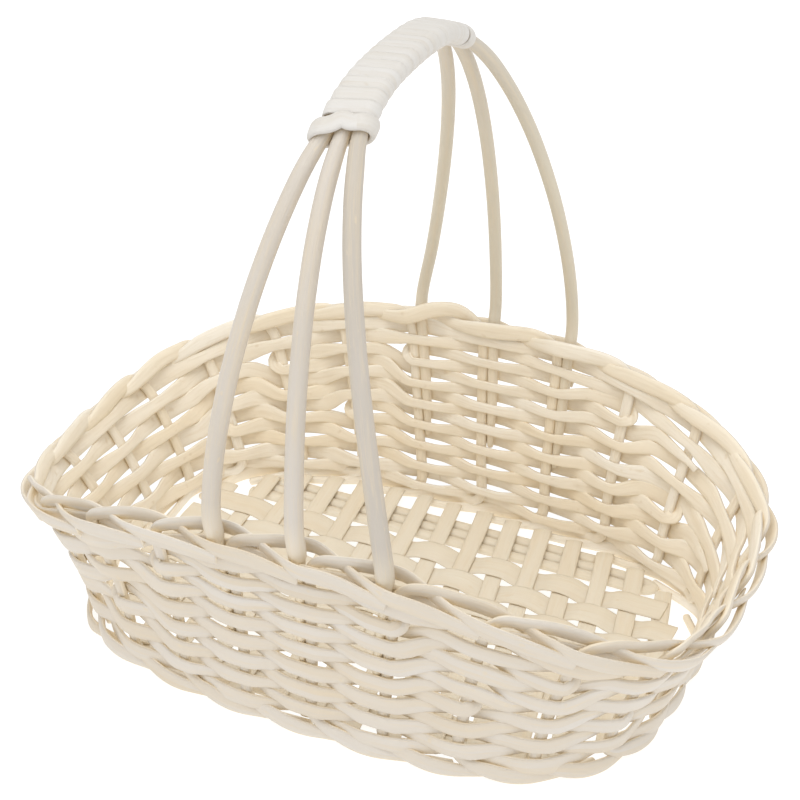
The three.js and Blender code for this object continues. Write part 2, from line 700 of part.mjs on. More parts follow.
// An edge rod runs to and fro under the slats beside the strips, and bends back inside the foot
const edgeOuter = FOOT_WIDTH / 2 - EDGE_ROD_INSET;
const edgeY = (pass) => edgeOuter - (EDGE_ROD_PASSES - 1 - pass) * EDGE_ROD_PITCH;
function edgeEnds(y) {
  const [left, right] = [Math.PI, 0].map((angle) => bandEdge(0, y, angle, EDGE_ROD_PITCH / 2, 2 * stakeStep));
  return [-left, right];
}
for (const side of [-1, 1]) {
  const half = EDGE_ROD_DIAMETER / 2;
  const stations = [];
  const addStation = (x, y) => {
    const point = new THREE.Vector3(x, side * y, slatBottom - CLEARANCE - half);
    stations.push({ point, out: floorUp, halfOut: half, halfSide: half });
  };
  // The outermost pass is the shortest, and all bends lie within it
  const [left, right] = edgeEnds(side * edgeOuter);
  const turn = EDGE_ROD_PITCH / 2;
  for (let pass = 0; pass < EDGE_ROD_PASSES; pass++) {
    const [from, to] = isEven(pass) ? [left + turn, right - turn] : [right - turn, left + turn];
    addStation(from, edgeY(pass));
    addStation(to, edgeY(pass));
    if (pass + 1 < EDGE_ROD_PASSES) addStation(isEven(pass) ? right : left, edgeY(pass + 0.5));
  }
  const name = side < 0 ? 'floor_edge_rod_front' : 'floor_edge_rod_back';
  addPiece('floor', name, strand(stations, roundSection(6)), materials.floor);
}

export default basket;
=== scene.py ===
"""A white willow basket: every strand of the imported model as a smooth, tapered willow rod or skein."""
import math

import bpy
import numpy as np
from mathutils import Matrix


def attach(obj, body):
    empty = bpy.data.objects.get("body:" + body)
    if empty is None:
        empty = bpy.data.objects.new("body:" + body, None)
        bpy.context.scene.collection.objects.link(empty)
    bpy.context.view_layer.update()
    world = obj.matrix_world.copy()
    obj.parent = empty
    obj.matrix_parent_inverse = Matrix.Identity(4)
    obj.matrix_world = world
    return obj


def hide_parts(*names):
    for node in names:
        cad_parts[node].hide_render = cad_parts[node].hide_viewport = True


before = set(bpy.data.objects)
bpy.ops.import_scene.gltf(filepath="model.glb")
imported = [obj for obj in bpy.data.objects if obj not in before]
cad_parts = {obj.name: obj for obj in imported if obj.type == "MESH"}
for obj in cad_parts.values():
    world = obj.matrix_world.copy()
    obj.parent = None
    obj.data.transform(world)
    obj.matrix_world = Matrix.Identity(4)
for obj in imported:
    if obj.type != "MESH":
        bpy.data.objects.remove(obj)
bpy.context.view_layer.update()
MM = 0.001

# Sizes of the basket, in millimetres, as in the solids
CLEARANCE = 0.3
RIM_LENGTH, RIM_WIDTH, RIM_SQUARENESS = 357, 228, 3.2
RIM_HEIGHT_SIDE, RIM_HEIGHT_END, RIM_SWEEP = 111.5, 71, 2.2
FOOT_LENGTH, FOOT_WIDTH, FOOT_SQUARENESS = 305, 204, 3
FOOT_TURN = math.radians(-3)
WALL_FLARE = 1.6
STAKE_DIAMETER = 4.7
GAPS_LEFT, GAPS_RIGHT, STAKE_CROWDING = 13, 12, 0.05
WEAVER_HEIGHT = 5.6
ROUNDS = 8
HANDLE_OFFSET, HANDLE_TOP, HANDLE_SPRING = 5, 308, 11
HANDLE_FLATNESS, HANDLE_LEAN, HANDLE_DRIFT = 3, 1.8, -2
ROD_BUTT_DIAMETER, ROD_END_DIAMETER, ROD_ROOT_SHARE = 8.8, 6.3, 0.6
ROD_GATHER, ROD_PARING = 0.93, 0.2
WRAP_TURNS, WRAP_LENGTH, WRAP_SHIFT, WRAP_THICKNESS = 14, 100, -3, 1.5
COLLAR_HEIGHT = 8
SLAT_COUNT, SLAT_MARGIN, SLAT_SHIFT = 15, 19.5, 6
SLAT_LEAN = (2, 14)
SLAT_WIDTH, SLAT_THICKNESS = 9.5, 2.2
STRIP_COUNT, STRIP_MARGIN, STRIP_SHIFT = 6, 48, 5
STRIP_WIDTH = 14
EDGE_ROD_DIAMETER, EDGE_ROD_INSET, EDGE_ROD_PASSES = 4.4, 24, 3

# Sizes that only the smooth strands have. A weaver is a flat ribbon: half its thickness, and by how much half
# its width passes half a row, with more outside the wall and where the packing ends, and less inside the wall
WEAVER_HALF_OUT = 1.15
WEAVER_OVERLAP, WEAVER_OUTER_MORE, WEAVER_FADE_MORE = 0.35, 0.9, 0.5
# Gaps past the end of a packing row in which the rows above it come down
PACKING_FADE = (0.02, 0.55)
# A stake is pressed flat where the weaving holds it: half its thickness and half its width
STAKE_HALF = (1.9, 2.9)
# Slats and strips are thin splits, and a slat gives way a little to each strip
SLAT_SPLIT, STRIP_SPLIT, SLAT_DIP, STRIP_SPREAD = 1.8, 1.0, 0.1, 1.0
# The edge rods lie nearer the wall, and each pass is broader
EDGE_ROD_SHIFT, EDGE_ROD_WIDE = 6.3, 7.4
# The weaving closes up to the rim border and down to the foot border
TOP_ROW_LIFT, FIRST_ROW_DROP = 1.2, 1.4

stake_radius = STAKE_DIAMETER / 2
stake_step = STAKE_DIAMETER + CLEARANCE
weaver_out = STAKE_HALF[0] + WEAVER_HALF_OUT
stake_count = GAPS_LEFT + GAPS_RIGHT
slat_pitch = (FOOT_LENGTH - 2 * SLAT_MARGIN) / (SLAT_COUNT - 1)
strip_pitch = (FOOT_WIDTH - 2 * STRIP_MARGIN) / STRIP_COUNT
slat_bottom = EDGE_ROD_DIAMETER + CLEARANCE
foot_height = stake_radius * math.cos(math.pi / 6)
first_row = 2 * STAKE_DIAMETER + CLEARANCE + WEAVER_HEIGHT / 2 - FIRST_ROW_DROP


def smoothstep(x, low, high):
    t = np.clip((np.asarray(x, float) - low) / (high - low), 0, 1)
    return t * t * (3 - 2 * t)


def unit(v):
    return v / np.maximum(np.linalg.norm(v, axis=-1, keepdims=True), 1e-12)


class Wobble:
    """Smooth seeded wandering between -1 and 1 along a length."""

    SIZE = 512

    def __init__(self, seed):
        self.values = np.random.RandomState(seed).uniform(-1, 1, self.SIZE)

    def __call__(self, x):
        x = np.asarray(x, float)
        low = np.floor(x).astype(int)
        t = smoothstep(x - low, 0, 1)
        return self.values[low % self.SIZE] * (1 - t) + self.values[(low + 1) % self.SIZE] * t


class Outline:
    """A superellipse, walked by the fraction of its length from +X, counter-clockwise from above."""

    def __init__(self, length, width, squareness, turn=0.0, samples=1440):
        angle = np.linspace(0, 2 * np.pi, samples + 1)
        c, s = np.cos(angle), np.sin(angle)
        x = length / 2 * np.sign(c) * np.abs(c) ** (2 / squareness)
        y = width / 2 * np.sign(s) * np.abs(s) ** (2 / squareness)
        self.x = x * math.cos(turn) - y * math.sin(turn)
        self.y = x * math.sin(turn) + y * math.cos(turn)
        steps = np.hypot(np.diff(self.x), np.diff(self.y))
        self.run = np.concatenate([[0], np.cumsum(steps)])
        self.length = self.run[-1]

    def at(self, fraction):
        goal = np.mod(fraction, 1.0) * self.length
        return np.stack([np.interp(goal, self.run, self.x), np.interp(goal, self.run, self.y)], -1)


rim = Outline(RIM_LENGTH, RIM_WIDTH, RIM_SQUARENESS)
foot = Outline(FOOT_LENGTH, FOOT_WIDTH, FOOT_SQUARENESS, FOOT_TURN)


def rim_height(fraction):
    x = np.abs(rim.at(fraction)[..., 0]) / (RIM_LENGTH / 2)
    return RIM_HEIGHT_SIDE + (RIM_HEIGHT_END - RIM_HEIGHT_SIDE) * x ** RIM_SWEEP


rod_aside = stake_step
back_start = 0.25 - (HANDLE_OFFSET - rod_aside) / rim.length
left_span = 0.5 + 2 * HANDLE_OFFSET / rim.length


def turn_fraction(place):
    """Fraction of the way round for a place counted in stakes; whole numbers are stakes."""
    rest = np.mod(place, stake_count)

    def crowded(part):
        return part + STAKE_CROWDING / (2 * np.pi) * np.sin(2 * np.pi * part)

    left = back_start + crowded(rest / GAPS_LEFT) * left_span
    right = back_start + left_span + crowded((rest - GAPS_LEFT) / GAPS_RIGHT) * (1 - left_span)
    return np.where(rest <= GAPS_LEFT, left, right)


def wall_point(fraction, z):
    up = np.maximum((z - foot_height) / (rim_height(fraction) - foot_height), 0) ** WALL_FLARE
    plan = foot.at(fraction) + (rim.at(fraction) - foot.at(fraction)) * np.asarray(up)[..., None]
    return np.concatenate([plan, np.broadcast_to(z, plan.shape[:-1])[..., None]], -1)


# Steps along the wall, as a part of the way round, and up it, in millimetres, that give its directions
ALONG_STEP, UP_STEP = 0.004, 1.0


def wall_frame(place, z):
    """Points on the middle of the wall, with the directions up it, out of it and level outwards."""
    fraction = turn_fraction(place)
    origin = wall_point(fraction, z)
    along = unit(wall_point(fraction + ALONG_STEP, z) - wall_point(fraction - ALONG_STEP, z))
    rise = wall_point(fraction, z + UP_STEP) - wall_point(fraction, z - UP_STEP)
    out = unit(np.cross(along, rise))
    up = np.cross(out, along)
    flat_out = unit(np.stack([along[..., 1], -along[..., 0], np.zeros_like(along[..., 0])], -1))
    return origin, up, out, flat_out


def stake_share(place, z, distance):
    """Millimetres along the wall as a part of the gap between two stakes."""
    here, there = wall_frame(place, z)[0], wall_frame(place + 0.5, z)[0]
    return distance / np.linalg.norm(here - there) / 2


def between(x, low, high, first, last):
    """The value at x on the line from first at low to last at high."""
    return (high - x) / (high - low) * first + (x - low) / (high - low) * last


def spline(values, per_span):
    """Centripetal curve through rows whose first three columns are places, with per_span points a span."""
    values = np.asarray(values, float)
    v = np.concatenate([[2 * values[0] - values[1]], values, [2 * values[-1] - values[-2]]])
    knots = np.sqrt(np.maximum(np.linalg.norm(np.diff(v[:, :3], axis=0), axis=1), 1e-6))
    t = np.concatenate([[0], np.cumsum(knots)])
    rows = []
    for i in range(1, len(v) - 2):
        x = np.linspace(t[i], t[i + 1], per_span, endpoint=False)[:, None]
        a1 = between(x, t[i - 1], t[i], v[i - 1], v[i])
        a2 = between(x, t[i], t[i + 1], v[i], v[i + 1])
        a3 = between(x, t[i + 1], t[i + 2], v[i + 1], v[i + 2])
        b1 = between(x, t[i - 1], t[i + 1], a1, a2)
        b2 = between(x, t[i], t[i + 2], a2, a3)
        rows.append(between(x, t[i], t[i + 1], b1, b2))
    rows.append(v[-2:-1])
    return np.concatenate(rows)


# The rings of a domed end, as parts of its length, and that length in half thicknesses
DOME_PARTS, DOME_LENGTH = (0.45, 0.8, 0.97), 0.55


def sweep(name, node, material, path, sides=10, square=2.0, closed=False):
    """A piece swept along rows [x, y, z, out x, y, z, half out, half side] in mm, with domed ends."""
    path = np.asarray(path, float)
    points, outs, halves = path[:, :3], path[:, 3:6], path[:, 6:8]
    if closed:
        tangent = unit(np.roll(points, -1, 0) - np.roll(points, 1, 0))
    else:
        tangent = unit(np.gradient(points, axis=0))
    side = unit(np.cross(tangent, outs))
    out = np.cross(side, tangent)
    angle = np.linspace(0, 2 * np.pi, sides, endpoint=False)
    c, s = np.cos(angle), np.sin(angle)
    c = np.sign(c) * np.abs(c) ** (2 / square)
    s = np.sign(s) * np.abs(s) ** (2 / square)
    run = np.concatenate([[0], np.cumsum(np.linalg.norm(np.diff(points, axis=0), axis=1))])
    if not closed:
        # Shrinking rings past each end
        rings = []
        for end, sign in ((0, -1), (-1, 1)):
            dome = []
            for part in DOME_PARTS:
                shift = sign * DOME_LENGTH * part * halves[end].min()
                shrink = math.sqrt(1 - part * part)
                middle = points[end] + tangent[end] * shift
                dome.append((middle, side[end], out[end], halves[end] * shrink, run[end] + shift))
            rings.append(dome)
        first, last = rings[0][::-1], rings[1]
        capped = []
        for column, values in enumerate((points, side, out, halves, run)):
            before, after = ([ring[column] for ring in dome] for dome in (first, last))
            capped.append(np.concatenate([before, values, after]))
        points, side, out, halves, run = capped
    count = len(points)
    verts = (points[:, None] + out[:, None] * (c[None, :, None] * halves[:, None, :1])
             + side[:, None] * (s[None, :, None] * halves[:, None, 1:]))
    i = np.arange(count if closed else count - 1)[:, None]
    j = np.arange(sides)[None]
    k = (j + 1) % sides
    far = (i + 1) % count
    quads = np.stack([i * sides + j, i * sides + k, far * sides + k, far * sides + j], -1).reshape(-1, 4)
    faces = quads.tolist()
    girth = math.pi * float(halves.sum(1).mean())
    along = np.concatenate([run, [run[-1] + np.linalg.norm(points[0] - points[-1])]])
    u = np.stack([along[i + 0 * j], along[i + 0 * j], along[i + 1 + 0 * j], along[i + 1 + 0 * j]], -1)
    v = np.stack([j + 0 * i, j + 1 + 0 * i, j + 1 + 0 * i, j + 0 * i], -1) / sides * girth
    uv = np.stack([u, v], -1).reshape(-1, 2)
    if not closed:
        faces += [list(range(sides))[::-1], [(count - 1) * sides + n for n in range(sides)]]
        ends = np.concatenate([np.full(sides, along[0]), np.full(sides, along[count - 1])])
        uv = np.concatenate([uv, np.stack([ends, np.zeros_like(ends)], -1)])
    mesh = bpy.data.meshes.new(name)
    mesh.from_pydata((verts.reshape(-1, 3) * MM).tolist(), [], faces)
    layer = mesh.uv_layers.new(name="grain")
    layer.uv.foreach_set("vector", (uv * MM).astype(np.float32).ravel())
    mesh.polygons.foreach_set("use_smooth", [True] * len(mesh.polygons))
    mesh.materials.append(material)
    piece = bpy.data.objects.new(name, mesh)
    bpy.context.scene.collection.objects.link(piece)
    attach(piece, "root")
    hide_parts(node)


# Metres along a handle rod over which its colour leaves its root's and turns to its far end's
ROOT_RUN, FAR_RUN, FAR_ROOT_RUN = (0.06, 0.09), (0.34, 0.5), (0.575, 0.6)
# How squarely a face looks outwards where its colour starts and ends to turn to the painted outer shade
OUTER_SHADE_FACING = (-0.1, 0.5)
# How often the tones, streaks, fibres, marks and lumps of the grain come in a metre, along a strand and
# round it
TONE_GRAIN, STREAK_GRAIN, FIBRE_GRAIN = (9, 45, 1), (16, 420, 1), (55, 1500, 1)
MARK_GRAIN, LUMP_GRAIN = (160, 420, 1), (70, 160, 1)
# The noise values, and for the painted shade in recesses the open share, between which each of them comes in
TONE_SPAN, STREAK_SPAN, FIBRE_SPAN = (0.3, 0.7), (0.48, 0.75), (0.52, 0.78)
MARK_SPAN, SHADE_OPEN_SPAN = (0.70, 0.78), (0.05, 0.55)
# How strongly they colour the willow
STREAK_SHARE, FIBRE_SHARE, MARK_SHARE = 0.4, 0.5, 0.45
# How far from a spot its neighbours count for the painted shade in recesses, in metres, and how many rays
# look for them
SHADE_REACH, SHADE_RAYS = 0.006, 6
# The fibres' part in the roughness, with its middle, and in the relief
FIBRE_ROUGH, FIBRE_ROUGH_MIDDLE, FIBRE_RELIEF = 0.25, 0.12, 0.6
# The relief's strength, and its depth in metres
RELIEF, RELIEF_DEPTH = 0.74, 0.0006
SPECULAR = 0.25
# How far the grain shifts at most from one piece to the next
PIECE_SHIFT = 37.0


def willow(name, pale, warm, streak, recess_shade, rough, outer_shade_grey=None, root=None, far=None):
    """Peeled willow: long grain, slow changes of tone along the rod, small marks and painted shade in
    recesses.
    """
    mat = bpy.data.materials.new(name)
    mat.use_nodes = True
    nodes, links = mat.node_tree.nodes, mat.node_tree.links
    nodes.clear()
    surface = nodes.new("ShaderNodeBsdfPrincipled")
    surface.inputs["Specular IOR Level"].default_value = SPECULAR
    output = nodes.new("ShaderNodeOutputMaterial")
    links.new(surface.outputs[0], output.inputs[0])
    uv = nodes.new("ShaderNodeUVMap")
    uv.uv_map = "grain"
    info = nodes.new("ShaderNodeObjectInfo")

    def noise(scale, detail, roughness=0.55):
        mapping = nodes.new("ShaderNodeMapping")
        mapping.inputs["Scale"].default_value = scale
        links.new(uv.outputs[0], mapping.inputs["Vector"])
        shift = nodes.new("ShaderNodeCombineXYZ")
        times = nodes.new("ShaderNodeMath")
        times.operation = "MULTIPLY"
        times.inputs[1].default_value = PIECE_SHIFT
        links.new(info.outputs["Random"], times.inputs[0])
        links.new(times.outputs[0], shift.inputs[0])
        links.new(times.outputs[0], shift.inputs[2])
        links.new(shift.outputs[0], mapping.inputs["Location"])
        tex = nodes.new("ShaderNodeTexNoise")
        tex.inputs["Scale"].default_value = 1.0
        tex.inputs["Detail"].default_value = detail
        tex.inputs["Roughness"].default_value = roughness
        links.new(mapping.outputs[0], tex.inputs["Vector"])
        return tex.outputs["Fac"]

    def ramp(value, low, high):
        node = nodes.new("ShaderNodeMapRange")
        node.inputs["From Min"].default_value = low
        node.inputs["From Max"].default_value = high
        links.new(value, node.inputs["Value"])
        return node.outputs["Result"]

    def mix(fac, a, b, blend="MIX"):
        node = nodes.new("ShaderNodeMix")
        node.data_type = "RGBA"
        node.blend_type = blend
        links.new(fac, node.inputs["Factor"])
        for socket, value in ((node.inputs[6], a), (node.inputs[7], b)):
            if isinstance(value, tuple):
                socket.default_value = (*value, 1)
            else:
                links.new(value, socket)
        return node.outputs[2]

    def math_node(operation, a, b):
        node = nodes.new("ShaderNodeMath")
        node.operation = operation
        for socket, value in zip(node.inputs, (a, b)):
            if isinstance(value, (int, float)):
                socket.default_value = value
            else:
                links.new(value, socket)
        return node.outputs[0]

    def vector_node(operation, a, b=None, output="Vector"):
        node = nodes.new("ShaderNodeVectorMath")
        node.operation = operation
        links.new(a, node.inputs[0])
        if isinstance(b, tuple):
            node.inputs[1].default_value = b
        elif b is not None:
            links.new(b, node.inputs[1])
        return node.outputs[output]

    tone = ramp(noise(TONE_GRAIN, detail=2), *TONE_SPAN)
    colour = mix(tone, pale, warm)
    if far:
        along = nodes.new("ShaderNodeSeparateXYZ")
        links.new(uv.outputs[0], along.inputs[0])
        colour = mix(ramp(along.outputs["X"], *ROOT_RUN), root, colour)
        colour = mix(ramp(along.outputs["X"], *FAR_RUN), colour, far)
        colour = mix(ramp(along.outputs["X"], *FAR_ROOT_RUN), colour, root)
    if outer_shade_grey:
        # Painted shade: faces turned away from the basket's middle are darkened, and a little greyer than
        # those inside it
        coords = nodes.new("ShaderNodeTexCoord")
        level = vector_node("MULTIPLY", coords.outputs["Object"], (1, 1, 0))
        outwards = vector_node("NORMALIZE", level)
        facing = vector_node("DOT_PRODUCT", coords.outputs["Normal"], outwards, "Value")
        colour = mix(ramp(facing, *OUTER_SHADE_FACING), colour, outer_shade_grey, "MULTIPLY")
    streaks = ramp(noise(STREAK_GRAIN, detail=2), *STREAK_SPAN)
    colour = mix(math_node("MULTIPLY", streaks, STREAK_SHARE), colour, streak)
    fibre = noise(FIBRE_GRAIN, detail=4, roughness=0.6)
    colour = mix(math_node("MULTIPLY", ramp(fibre, *FIBRE_SPAN), FIBRE_SHARE), colour, streak)
    marks = ramp(noise(MARK_GRAIN, detail=1), *MARK_SPAN)
    colour = mix(math_node("MULTIPLY", marks, MARK_SHARE), colour, streak)
    # Painted shade: where neighbours crowd round, the colour turns to a warm recess shade instead of the
    # willow's own
    shade_occlusion = nodes.new("ShaderNodeAmbientOcclusion")
    shade_occlusion.samples = SHADE_RAYS
    shade_occlusion.inputs["Distance"].default_value = SHADE_REACH
    colour = mix(ramp(shade_occlusion.outputs["AO"], *SHADE_OPEN_SPAN), recess_shade, colour)
    links.new(colour, surface.inputs["Base Color"])
    uneven = math_node("MULTIPLY", fibre, FIBRE_ROUGH)
    links.new(math_node("ADD", uneven, rough - FIBRE_ROUGH_MIDDLE), surface.inputs["Roughness"])
    bump = nodes.new("ShaderNodeBump")
    bump.inputs["Strength"].default_value = RELIEF
    bump.inputs["Distance"].default_value = RELIEF_DEPTH
    lumps = noise(LUMP_GRAIN, detail=2)
    links.new(math_node("ADD", math_node("MULTIPLY", fibre, FIBRE_RELIEF), lumps), bump.inputs["Height"])
    links.new(bump.outputs[0], surface.inputs["Normal"])
    return mat


# Colours: pale and warm willow, streaks, painted shade in recesses, the painted shade and greyer tone of
# outer faces, and a rod's root and far end
STREAK, RECESS_SHADE = (0.76, 0.64, 0.46), (0.95, 0.82, 0.60)
OUTER_SHADE_GREY = (0.75, 0.75, 0.78)
STAKE = willow("stake_willow", (0.95, 0.89, 0.78), (0.91, 0.80, 0.62), STREAK, RECESS_SHADE,
               rough=0.5, outer_shade_grey=OUTER_SHADE_GREY)
WEAVER = willow("weaver_willow", (0.96, 0.90, 0.79), (0.92, 0.81, 0.63), STREAK, RECESS_SHADE,
                rough=0.5, outer_shade_grey=OUTER_SHADE_GREY)
ROD = willow("handle_willow", (0.66, 0.61, 0.55), (0.62, 0.56, 0.48), STREAK, RECESS_SHADE,
             rough=0.45, root=(0.86, 0.76, 0.60), far=(0.70, 0.64, 0.52))
# The right-hand rod is darker all along than the others
DARKER_ROD = willow("handle_willow_darker", (0.58, 0.53, 0.47), (0.54, 0.49, 0.42), STREAK, RECESS_SHADE,
                  rough=0.45, root=(0.80, 0.71, 0.56), far=(0.68, 0.62, 0.50))
# Skein and floor: the fourth colour of each is the painted shade in their recesses, darker than the willow
SKEIN = willow("skein_willow", (0.71, 0.69, 0.66), (0.68, 0.65, 0.60),
               (0.62, 0.56, 0.47), (0.42, 0.33, 0.23), rough=0.45)
FLOOR = willow("floor_willow", (0.82, 0.75, 0.62), (0.80, 0.71, 0.56), STREAK, (0.76, 0.65, 0.48),
               rough=0.48)

# Handle rods: back and front stake, and how late each bends in at the front and at the back
rod_stakes = [
    ("left", 1, GAPS_LEFT - 1, (1.5, 0.95)),
    ("middle", 0, GAPS_LEFT, (1.5, 1.5)),
    ("right", -1, GAPS_LEFT + 1, (1.15, 1.6)),
]
rod_places = [place % stake_count for _, back, front, _ in rod_stakes for place in (back, front)]


def holds_rod(stake):
    return int(round(stake)) % stake_count in rod_places


rod_clear = (ROD_BUTT_DIAMETER + STAKE_DIAMETER) / 2 + CLEARANCE
# Gaps from a handle rod within which the border strands part for it
PARTING_REACH = 0.6


def parting(place):
    """How far border strands part round a handle rod: 1 beside it, 0 past its reach."""
    before = stake_share(round(place), RIM_HEIGHT_SIDE, rod_aside)
    nearest = round(place + before)
    if not holds_rod(nearest):
        return 0.0
    away = min(abs(place - (nearest - before)) / PARTING_REACH, 1)
    return math.cos(away * math.pi / 2) ** 2


# A stake's top, behind one stake and before two:
# [gaps from the stake, steps out, steps up, half thickness, half width]
border_route = [
    [0.06, 0.05, -0.4, 1.7, 2.8], [0.16, -0.02, 0.12, 1.6, 3.2], [0.35, -0.35, 0.26, 1.5, 3.8],
    [0.65, -0.65, 0.2, 1.4, 4.2], [1.0, -0.85, 0.0, 1.4, 4.2], [1.3, -0.5, -0.3, 1.4, 3.2],
    [1.58, 0.42, -0.36, 1.4, 3.2], [1.9, 1.1, -0.42, 1.4, 4.2], [2.3, 1.25, -0.75, 1.3, 4.8],
    [2.9, 1.15, -1.5, 1.0, 3.6],
]
CROSSING_DEPTH = 0.5
border_depth = CROSSING_DEPTH * stake_step + stake_radius + CLEARANCE + WEAVER_HEIGHT / 2
# A stake's foot, before one stake and behind one:
# [gaps from the stake, steps out, diameters up, half thickness, half width]
foot_route = [
    [1.9, -0.75, 0, 1.9, 1.9], [1.5, -0.45, 0, 1.8, 2.3], [1.2, 0.05, 0.03, 1.6, 3.0],
    [0.95, 0.48, 0.22, 1.5, 4.0], [0.68, 0.58, 0.55, 1.4, 4.4], [0.42, 0.46, 0.9, 1.4, 4.2],
    [0.2, 0.22, 1.15, 1.6, 3.2], [0.08, 0.03, 1.5, 1.8, 2.7],
]
# Where the upright part of a stake starts, in diameters up, and ends, in steps below the rim, and how many
# stations it has
UPRIGHT_START, UPRIGHT_END, UPRIGHT_STATIONS = 2.7, 1.7, 5
foot_top = UPRIGHT_START * STAKE_DIAMETER
# How far a top strays from its route in steps, from which gap on, and the seed that its stake adds to
BORDER_STRAY, STRAY_FROM, BORDER_SEED = 0.09, 0.2, 300
# Steps from the wall's middle between which a strand starts to make room for a handle rod
ROOM_SPAN = (0.3, 0.8)
# The foot stands out at the left-hand front corner, and one top arches up between two handle rods:
# stake -> height of the bulge in mm, gaps from the stake to its middle, its width in gaps
LOOSE_FEET = {8: (3.5, 0.95, 0.4), 9: (3, 0.4, 0.4)}
LOOSE_TOPS = {0: (6, 0.5, 0.3)}


def loose_bulge(bulges, stake, gap):
    height, middle, width = bulges.get(stake, (0, 0, 1))
    return height * math.exp(-((gap - middle) / width) ** 2)


def stake_path(stake):
    """Stations of a stake from the end of its foot to the end of its top."""
    stray = np.random.RandomState(BORDER_SEED + stake).uniform(-1, 1, (len(border_route), 2)) * BORDER_STRAY
    rows = []
    for gap, out, up, half_out, half_side in foot_route:
        z = max(foot_height + up * STAKE_DIAMETER, half_side)
        origin, _, _, flat_out = wall_frame(stake + gap, z)
        aside = out * stake_step + loose_bulge(LOOSE_FEET, stake, gap)
        rows.append([*(origin + flat_out * aside), *flat_out, half_out, half_side])
    top = rim_height(turn_fraction(stake)) - UPRIGHT_END * stake_step
    for part in np.linspace(0, 1, UPRIGHT_STATIONS):
        origin, _, out, _ = wall_frame(stake, foot_top + (top - foot_top) * part)
        rows.append([*origin, *out, *STAKE_HALF])
    for (gap, out, up, half_out, half_side), more in zip(border_route, stray):
        more_out, more_up = more * float(gap > STRAY_FROM)
        origin, rise, normal, _ = wall_frame(stake + gap, rim_height(turn_fraction(stake + gap)))
        short = max(rod_clear / stake_step - abs(out), 0)
        push = short * float(smoothstep(abs(out), *ROOM_SPAN))
        spread = out + math.copysign(push, out) * parting(stake + gap) + more_out
        lift = up + more_up + loose_bulge(LOOSE_TOPS, stake, gap) / stake_step
        point = origin + normal * spread * stake_step + rise * lift * stake_step
        rows.append([*point, *normal, half_out, half_side])
    return spline(rows, per_span=6)


for stake in range(stake_count):
    node = f"stake_{stake + 1:02d}"
    path = stake_path(stake)
    sweep(node + "_rod", node, STAKE, path, sides=14, square=2.5)

# Packing rows: how far each runs to the left and right of the middle stake, in stakes
packings = [
    (2, [[4, 4], [3, 4], [3, 2], [2, 2]]),
    (5, [[3, 3], [2, 3], [2, 1], [1, 1]]),
]
sides_middle = [("back", 0), ("front", GAPS_LEFT)]
spiral_start = -round(GAPS_RIGHT / 2)


def packed(row, place):
    """Share of a full row that a packing row takes up: 1 along it, fading past its ends."""
    place = np.asarray(place, float)
    share = np.zeros_like(place)
    for _, middle in sides_middle:
        off = place - middle - np.round((place - middle) / stake_count) * stake_count
        past = np.maximum(np.maximum(-row[0] - off, off - row[1]), 0)
        share = np.maximum(share, 1 - smoothstep(past, *PACKING_FADE))
    return share


all_rows = [row for _, rows in packings for row in rows]
# The part of a lap in which a round climbs from the last one, at the right-hand end
LAP_CLIMB = (0, 0.09)


def lap_level(lap, part):
    """The row that a lap of the weaving lies in, a part of the way round."""
    return np.clip(lap - 1 + smoothstep(part, *LAP_CLIMB), 0, ROUNDS - 1)


def row_height(place, full_rows, below):
    low = sum((packed(row, place) for row in below), np.zeros_like(np.asarray(place, float)))
    total = ROUNDS - 1 + sum(packed(row, place) for row in all_rows)
    last = rim_height(turn_fraction(place)) - border_depth + TOP_ROW_LIFT
    return first_row + (full_rows + low) / total * (last - first_row)


def full_row_height(place):
    place = np.asarray(place, float)
    full = (place - spiral_start) / stake_count
    lap = np.floor(full)
    height = row_height(place, lap_level(lap, full - lap), [])
    for above, rows in packings:
        raised = row_height(place, 0, rows) - first_row
        height = height + np.where(lap > above, raised, 0)
    return height


def packing_row_height(level, row, place):
    above, rows = packings[level]
    turned = (np.asarray(place, float) - spiral_start) / stake_count
    full = lap_level(above, turned - np.floor(turned))
    below = [r for other, rs in packings if other < above for r in rs] + rows[:row + 1]
    return row_height(place, full, below)


# More than 1 where neighbouring rows lie close together for longer between two stakes
CROSSING_FLATNESS = 1.5
# Parts of a gap beside a stake, and beside a handle rod, in which a strand keeps to its side
STAKE_HOLD, ROD_HOLD = 0.05, 0.24


def weave_offset(place, first_sign):
    """Side of the wall at each place: +1 outside or -1 inside at the stakes, turning over between them."""
    place = np.asarray(place, float)
    offset = np.zeros_like(place)
    for n, p in enumerate(place):
        low = math.floor(p)
        after = low + STAKE_HOLD
        before = low + 1 - (ROD_HOLD if holds_rod(low + 1) else STAKE_HOLD)
        sign = 1 if low % 2 == 0 else -1
        across = math.cos(math.pi * min(max((p - after) / (before - after), 0), 1))
        offset[n] = sign * math.copysign(abs(across) ** CROSSING_FLATNESS, across)
    return offset * first_sign


# How much a strand's tips are pared, and over how many gaps
TIP_PARING, TIP_RUN = 0.5, 0.35
# How often a strand swells for each gap and by what share, slowly and quickly, and how often and how far
# it strays up and down, in millimetres
SLOW_SWELL, QUICK_SWELL, STRAND_STRAY = (0.45, 0.13), (2.1, 0.05), (0.9, 0.5)


